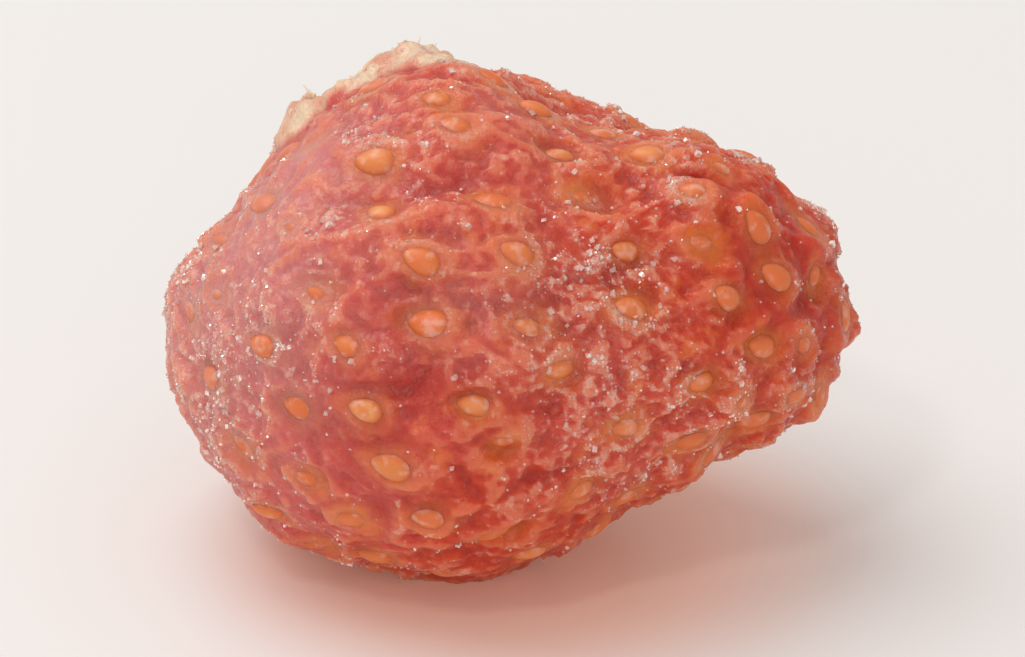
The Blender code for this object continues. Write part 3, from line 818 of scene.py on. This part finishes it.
def make_sugar(flesh, material):
    """Grains of sugar, most where the bloom is thick and on ridges."""
    bm = bmesh.new()
    bmesh.ops.create_cube(bm, size=1)
    for _ in range(GRAIN_DOUBLINGS):
        bmesh.ops.duplicate(bm, geom=bm.verts[:] + bm.edges[:] + bm.faces[:])
    corners = np.array([vertex.co[:] for vertex in bm.verts]).reshape(-1, 8, 3)
    count = len(corners)
    draw = np.random.default_rng(GRAIN_SEED)
    chance = GRAINS_ANYWHERE + flesh.bloom**2
    chance *= GRAINS_OFF_RIDGES + np.clip(flesh.ridge + flesh.crest, 0, 1)
    chance *= (flesh.points[:, 2] > REST_CLEARANCE) * (1 - GRAINS_OFF_TISSUE * flesh.torn)
    picks = draw.choice(len(chance), count, replace=False, p=chance / chance.sum())
    sizes = np.minimum(GRAIN_LEAST * (1 - draw.random(count)) ** (-1 / GRAIN_POWER), GRAIN_MOST)
    corners = corners * draw.uniform(*GRAIN_STRETCH, (count, 1, 3))
    corners += draw.uniform(-GRAIN_JITTER, GRAIN_JITTER, corners.shape)
    turns, _ = np.linalg.qr(draw.normal(size=(count, 3, 3)))
    corners = corners @ turns * sizes[:, None, None]
    middles = flesh.points[picks] + flesh.normals[picks] * (sizes * (0.5 - GRAIN_SUNK))[:, None]
    for vertex, point in zip(bm.verts, (corners + middles[:, None]).reshape(-1, 3)):
        vertex.co = point
    return new_piece(bm, "sugar", material, smooth=False)


# Materials


def new_material(name):
    material = bpy.data.materials.new(name)
    material.use_nodes = True
    tree = material.node_tree
    return material, tree, tree.nodes["Principled BSDF"]


def attribute(tree, name):
    node = tree.nodes.new("ShaderNodeAttribute")
    node.attribute_name = name
    return node.outputs["Fac"]


def coordinates(tree):
    return tree.nodes.new("ShaderNodeTexCoord").outputs["Object"]


def speckle(tree, where, span, detail=2.0, roughness=0.5):
    """Noise whose blobs are span metres apart."""
    node = tree.nodes.new("ShaderNodeTexNoise")
    node.inputs["Scale"].default_value = 1 / span
    node.inputs["Detail"].default_value = detail
    node.inputs["Roughness"].default_value = roughness
    tree.links.new(where, node.inputs["Vector"])
    return node.outputs["Fac"]


def remap(tree, value, low, high, to_low=0.0, to_high=1.0):
    node = tree.nodes.new("ShaderNodeMapRange")
    node.interpolation_type = "SMOOTHSTEP"
    node.inputs["From Min"].default_value = low
    node.inputs["From Max"].default_value = high
    node.inputs["To Min"].default_value = to_low
    node.inputs["To Max"].default_value = to_high
    tree.links.new(value, node.inputs["Value"])
    return node.outputs["Result"]


def maths(tree, operation, first, second):
    node = tree.nodes.new("ShaderNodeMath")
    node.operation = operation
    node.use_clamp = True
    for socket, value in zip(node.inputs, (first, second)):
        if isinstance(value, (int, float)):
            socket.default_value = value
        else:
            tree.links.new(value, socket)
    return node.outputs["Value"]


def mixed(tree, share, first, second):
    """first where share is 0 and second where it is 1. Each is a colour or a colour socket."""
    node = tree.nodes.new("ShaderNodeMix")
    node.data_type = "RGBA"
    tree.links.new(share, node.inputs["Factor"])
    for socket, value in zip((node.inputs["A"], node.inputs["B"]), (first, second)):
        if isinstance(value, tuple):
            socket.default_value = (*value, 1.0)
        else:
            tree.links.new(value, socket)
    return node.outputs["Result"]


def times(tree, first, second):
    return maths(tree, "MULTIPLY", first, second)


def bumped(tree, height, distance, under=None):
    node = tree.nodes.new("ShaderNodeBump")
    node.inputs["Distance"].default_value = distance
    tree.links.new(height, node.inputs["Height"])
    if under is not None:
        tree.links.new(under, node.inputs["Normal"])
    return node.outputs["Normal"]


# Colours, as shares of linear red, green and blue

PINK_RED = (0.66, 0.080, 0.066)
ORANGE_RED = (0.66, 0.056, 0.008)
# DEEP_RED is also the painted shade in the flesh's hollows and creases
DEEP_RED = (0.52, 0.019, 0.005)
AMBER = (0.84, 0.21, 0.030)
FROST = (0.86, 0.50, 0.42)
TAN = (0.78, 0.24, 0.115)
HAZE = (0.70, 0.35, 0.345)
SCAR_PINK = (0.76, 0.24, 0.15)
# the pinkish-white of the painted highlights, the glints on the flesh
PAINTED_GLINT = (0.90, 0.52, 0.42)
CREAM = (0.90, 0.66, 0.47)
CREAM_SHADE = (0.84, 0.48, 0.33)
SEED_GOLD = (0.83, 0.38, 0.12)
SEED_BROWN = (0.72, 0.23, 0.055)
SEED_FILM = (0.73, 0.125, 0.026)
SEED_HAZE = (0.74, 0.25, 0.17)
SUGAR_CLEAR = (0.97, 0.72, 0.64)
SUGAR_WHITE = (0.99, 0.88, 0.82)


def completed(material, tree, shader, colour, height, values):
    """Links the colour and the bump, and sets what is the same all over the surface."""
    tree.links.new(colour, shader.inputs["Base Color"])
    tree.links.new(height, shader.inputs["Normal"])
    for name, value in values.items():
        shader.inputs[name].default_value = value
    return material


def bare_flesh(tree, ridge, deep, mottle):
    """Flesh with nothing on it: pink to orange, painted deeper red as shade in its hollows and fine
    creases, and amber round the seeds.
    """
    bare = remap(tree, attribute(tree, "haze"), 0.0, 0.5, 1.0, 0.2)
    colour = mixed(tree, attribute(tree, "warm"), PINK_RED, ORANGE_RED)
    for share in (
        # painted shade: the hollows and the fine creases are painted deeper red
        remap(tree, attribute(tree, "hollow"), 0.05, 0.9, 0.0, 0.75),
        remap(tree, ridge, 0.1, -0.9, 0.0, 0.35),
        times(tree, remap(tree, mottle, 0.48, 0.32, 0.0, 0.5), bare),
        deep,
    ):
        colour = mixed(tree, share, colour, DEEP_RED)
    glow = times(tree, attribute(tree, "halo"), remap(tree, mottle, 0.35, 0.6, 0.25, 0.8))
    glow = maths(tree, "MAXIMUM", glow, remap(tree, mottle, 0.56, 0.70, 0.0, 0.55))
    glow = times(tree, glow, remap(tree, deep, 0.0, 0.8, 1.0, 0.65))
    return mixed(tree, glow, colour, AMBER)


def flesh_material():
    """Candied flesh under a haze, with tan crests, a veil of sugar, painted glints, painted shade in its
    hollows, and torn tissue.
    """
    material, tree, shader = new_material("candied_flesh")
    where = coordinates(tree)
    ridge, deep, torn = (attribute(tree, name) for name in ("ridge", "deep", "torn"))
    clear = remap(tree, deep, 0.0, 0.6, 1.0, 0.25)
    crest = times(tree, remap(tree, attribute(tree, "crest"), 0.0, 0.8), clear)
    colour = bare_flesh(tree, ridge, deep, speckle(tree, where, 1.3 * MM, detail=3))
    colour = mixed(tree, times(tree, attribute(tree, "haze"), 0.60), colour, HAZE)
    colour = mixed(tree, times(tree, crest, 0.50), colour, TAN)
    grains = remap(tree, speckle(tree, where, 0.30 * MM, detail=4, roughness=0.65), 0.46, 0.58)
    fine = maths(tree, "MAXIMUM", remap(tree, ridge, -0.2, 0.7, 0.2, 1.0), crest)
    veil = times(tree, attribute(tree, "bloom"), fine)
    veil = times(tree, veil, remap(tree, grains, 0, 1, 0.25, 1.0))
    colour = mixed(tree, times(tree, veil, 0.85), colour, FROST)
    # painted highlight: small glints are painted pinkish-white, most on the ridges and least where the
    # flesh is deep red
    glints = remap(tree, speckle(tree, where, 0.50 * MM, detail=2), 0.58, 0.70, 0.0, 0.45)
    glints = times(tree, glints, remap(tree, ridge, -0.3, 0.5, 0.2, 1.0))
    colour = mixed(tree, times(tree, glints, clear), colour, PAINTED_GLINT)
    pulp = mixed(tree, attribute(tree, "pale"), SCAR_PINK, CREAM)
    colour = mixed(tree, torn, colour, pulp)
    tree.links.new(remap(tree, veil, 0.0, 0.7, 0.22, 0.60), shader.inputs["Roughness"])
    tree.links.new(remap(tree, torn, 0.0, 1.0, 0.8, 0.35), shader.inputs["Subsurface Weight"])
    pores = bumped(tree, speckle(tree, where, 0.22 * MM, detail=3, roughness=0.6), 0.06 * MM)
    height = bumped(tree, grains, 0.025 * MM, under=pores)
    values = {
        "Subsurface Radius": (1.0, 0.20, 0.10),
        "Subsurface Scale": 2.4 * MM,
        "IOR": 1.46,
        "Specular IOR Level": 0.50,
        "Sheen Weight": 0.10,
        "Sheen Roughness": 0.45,
        "Sheen Tint": (1.0, 0.80, 0.74, 1.0),
    }
    return completed(material, tree, shader, colour, height, values)


def seed_material():
    """Smooth golden to brown seed coats under skin, haze and sugar film."""
    material, tree, shader = new_material("seed_coat")
    where = coordinates(tree)
    tone, film, haze = (attribute(tree, name) for name in ("tone", "film", "haze"))
    colour = mixed(tree, remap(tree, tone, 0.1, 1.2, 0.0, 0.9), SEED_GOLD, SEED_BROWN)
    smear = remap(tree, speckle(tree, where, 0.7 * MM, detail=3), 0.46, 0.62, 0.0, 0.6)
    film = times(tree, maths(tree, "MAXIMUM", film, smear), 0.85)
    colour = mixed(tree, film, colour, SEED_FILM)
    colour = mixed(tree, remap(tree, haze, 0, 1, 0.0, 0.65), colour, SEED_HAZE)
    cloud = remap(tree, speckle(tree, where, 0.40 * MM, detail=3), 0.48, 0.68, 0.0, 0.45)
    colour = mixed(tree, cloud, colour, FROST)
    height = bumped(tree, speckle(tree, where, 0.12 * MM), 0.006 * MM)
    values = {
        "Roughness": 0.42,
        "Subsurface Weight": 0.5,
        "Subsurface Radius": (1.0, 0.45, 0.15),
        "Subsurface Scale": 0.6 * MM,
    }
    return completed(material, tree, shader, colour, height, values)


def hull_material():
    """Dry, torn tissue: cream, with darker blotches, and pink at its root."""
    material, tree, shader = new_material("hull_tissue")
    where = coordinates(tree)
    blotch = remap(tree, speckle(tree, where, 0.8 * MM, detail=4, roughness=0.6), 0.40, 0.65)
    dry = mixed(tree, blotch, CREAM, CREAM_SHADE)
    colour = mixed(tree, remap(tree, attribute(tree, "edge"), 0.0, 0.45), SCAR_PINK, dry)
    height = bumped(tree, speckle(tree, where, 0.12 * MM, detail=3, roughness=0.6), 0.03 * MM)
    values = {
        "Roughness": 0.6,
        "Subsurface Weight": 0.7,
        "Subsurface Radius": (1.0, 0.5, 0.3),
        "Subsurface Scale": 0.5 * MM,
    }
    return completed(material, tree, shader, colour, height, values)


def sugar_material():
    """Clear to white sugar, tinted by the flesh under it."""
    material, tree, shader = new_material("sugar_grains")
    cloudy = remap(tree, speckle(tree, coordinates(tree), 0.5 * MM, detail=2), 0.35, 0.65)
    tree.links.new(mixed(tree, cloudy, SUGAR_CLEAR, SUGAR_WHITE), shader.inputs["Base Color"])
    tree.links.new(remap(tree, cloudy, 0, 1, 0.08, 0.35), shader.inputs["Roughness"])
    shader.inputs["Transmission Weight"].default_value = 0.55
    shader.inputs["IOR"].default_value = 1.52
    return material


# The table, the lights and the camera

CAMERA_ELEVATION = 26
CAMERA_DISTANCE = 0.45
VIEW_WIDTH = 38 * MM  # how much of the table the frame spans at the fruit
SENSOR = 36.0
AIM = Vector((0.0, 0.0, 8.3 * MM))
FLOOR_REACH = 1.5
FLOOR_DROP = 0.02 * MM  # keeps it clear of the fruit's flat spot
TABLE = (0.88, 0.87, 0.86)
# A painted glow, in the table's colour and a faint emission, stands in for the red light that comes
# through the fruit round its foot
PAINTED_GLOW = (0.92, 0.55, 0.38)
GLOW_AT = (0.5 * MM, -1.0 * MM, 0.0)
GLOW_REACH, GLOW_SHARE, GLOW_STRENGTH = 14 * MM, 0.50, 0.10
DARK = (0.0, 0.0, 0.0)
ROOM, ROOM_STRENGTH = (1.0, 0.955, 0.915, 1.0), 0.56
# Each light: where it stands, its size, its energy and its colour
Light = namedtuple("Light", "place size energy colour")
LIGHTS = {
    "window": Light((-0.17, 0.08, 0.38), 0.36, 0.95, (1.0, 0.995, 0.985)),
    "lamp": Light((-0.12, -0.24, 0.36), 0.05, 0.16, (1.0, 0.98, 0.95)),
    "fill": Light((0.06, -0.42, 0.06), 0.30, 0.46, (1.0, 0.97, 0.94)),
}


def make_floor():
    """The pale table, with a painted warm glow round the fruit's foot."""
    bm = bmesh.new()
    bmesh.ops.create_grid(bm, x_segments=1, y_segments=1, size=FLOOR_REACH)
    bmesh.ops.translate(bm, verts=bm.verts, vec=(0, 0, -FLOOR_DROP))
    material, tree, shader = new_material("pale_table")
    where = coordinates(tree)
    gap = tree.nodes.new("ShaderNodeVectorMath")
    gap.operation = "DISTANCE"
    tree.links.new(where, gap.inputs[0])
    gap.inputs[1].default_value = GLOW_AT
    # painted glow: the table's colour turns warm orange round the fruit's foot
    glow = remap(tree, gap.outputs["Value"], GLOW_REACH, 0.4 * GLOW_REACH, 0.0, GLOW_SHARE)
    tree.links.new(mixed(tree, glow, TABLE, PAINTED_GLOW), shader.inputs["Base Color"])
    # painted glow: a faint emission round the fruit's foot, though the table is no lamp
    passed = remap(tree, gap.outputs["Value"], GLOW_REACH, 0.5 * GLOW_REACH)
    tree.links.new(mixed(tree, passed, DARK, PAINTED_GLOW), shader.inputs["Emission Color"])
    shader.inputs["Emission Strength"].default_value = GLOW_STRENGTH
    shader.inputs["Roughness"].default_value = 0.35
    floor = new_piece(bm, "floor", material, smooth=False)


def add_lights():
    for name, light in LIGHTS.items():
        lamp = bpy.data.lights.new(name, "AREA")
        lamp.size = light.size
        lamp.energy = light.energy
        lamp.color = light.colour
        holder = bpy.data.objects.new(name, lamp)
        holder.location = light.place
        holder.rotation_euler = (AIM - Vector(light.place)).to_track_quat("-Z", "Y").to_euler()
        bpy.context.scene.collection.objects.link(holder)
    world = bpy.data.worlds.new("room")
    world.use_nodes = True
    bpy.context.scene.world = world
    background = world.node_tree.nodes["Background"]
    background.inputs["Color"].default_value = ROOM
    background.inputs["Strength"].default_value = ROOM_STRENGTH


def add_camera():
    elevation = math.radians(CAMERA_ELEVATION)
    back = Vector((0.0, -math.cos(elevation), math.sin(elevation)))
    data = bpy.data.cameras.new("camera")
    data.sensor_width = SENSOR
    data.lens = SENSOR * CAMERA_DISTANCE / VIEW_WIDTH
    camera = bpy.data.objects.new("camera", data)
    camera.location = AIM + back * CAMERA_DISTANCE
    camera.rotation_euler = (-back).to_track_quat("-Z", "Y").to_euler()
    bpy.context.scene.collection.objects.link(camera)
    bpy.context.scene.camera = camera


def main():
    """Builds the camera, the light, the table and the fruit's four pieces."""
    add_camera()
    add_lights()
    make_floor()
    bpy.context.scene.view_settings.view_transform = "Standard"
    seeds = Seeds()
    flesh = Flesh(seeds, flesh_material())
    pieces = {
        "candied_flesh": flesh.piece,
        "seed_coat": make_achenes(seeds, flesh, seed_material()),
        "hull_tissue": make_hull_tissue(flesh, hull_material()),
        "sugar_grains": make_sugar(flesh, sugar_material()),
    }
    for slot, piece in pieces.items():
        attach(piece, "root")
        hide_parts(NODE)


main()
